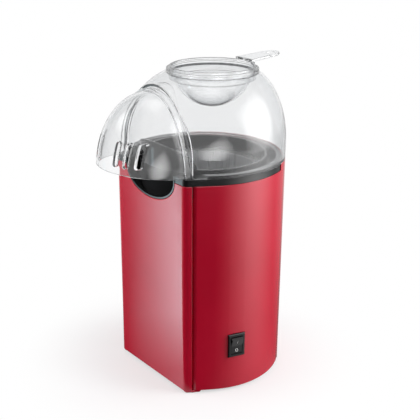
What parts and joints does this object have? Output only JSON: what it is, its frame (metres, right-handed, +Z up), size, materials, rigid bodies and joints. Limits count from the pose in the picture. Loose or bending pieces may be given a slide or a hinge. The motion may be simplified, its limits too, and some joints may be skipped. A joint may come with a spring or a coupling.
{
  "type": "popcorn maker",
  "caption": "Tabletop hot-air popcorn maker: red casing with a flat front, clear domed lid with an overhanging chute, lift-out measuring cup, rocker switch, and fan, motor and heater inside.",
  "frame": {"origin": "on the table, under the middle of the bounding box", "axes": "+Z up, -Y towards the flat front and the chute, +X towards the side with the switch"},
  "size_m": [0.1427, 0.1822, 0.2734],
  "materials": {
    "red_plastic": "satin gloss moulded plastic",
    "black_plastic": "matt moulded plastic",
    "clear_plastic": "clear polished plastic",
    "duct_plastic": "heat-resistant moulding",
    "aluminium": "pressed sheet",
    "steel": "bright zinc",
    "dark_iron": "dull",
    "brass": "plain",
    "mica": "mica sheet",
    "board": "paper laminate",
    "rubber": "matt rubber"
  },
  "bodies": {
    "base": {"main_casing": "red_plastic", "front_panel": "red_plastic", "base_plate": "red_plastic", "top_collar": "black_plastic", "popping_chamber": "aluminium", "air_duct": "duct_plastic", "heater_frame": "mica", "heater_ribbon": "steel", "motor_can": "steel", "motor_end_cap": "black_plastic", "motor_magnets": "dark_iron", "motor_bushes": "brass", "motor_screws": "steel", "rectifier_board": "board", "thermostat": "black_plastic", "thermal_fuse": "steel", "switch_housing": "black_plastic", "switch_terminals": "brass", "cord_gland": "rubber", "foot_pads": "rubber", "base_screws": "steel", "collar_screws": "steel"},
    "lid": {"lid": "clear_plastic"},
    "cup": {"measuring_cup": "clear_plastic"},
    "rotor": {"motor_shaft": "steel", "armature": "dark_iron", "fan": "aluminium"},
    "rocker": {"switch_rocker": "black_plastic"}
  },
  "joints": [
    {"name": "lid_lift", "type": "slide", "parent": "base", "child": "lid", "axis": [0, 0, 1], "range_m": [0, 0.12]},
    {"name": "cup_lift", "type": "slide", "parent": "lid", "child": "cup", "axis": [0, 0, 1], "range_m": [0, 0.08]},
    {"name": "fan_spin", "type": "hinge", "parent": "base", "child": "rotor", "pos_m": [0, 0.00875, 0.06], "axis": [0, 0, 1], "continuous": true},
    {"name": "rocker_tip", "type": "hinge", "parent": "base", "child": "rocker", "pos_m": [0.06632, -0.0084, 0.0435], "axis": [-0.2504, -0.9681, 0], "range_deg": [0, 20]}
  ]
}
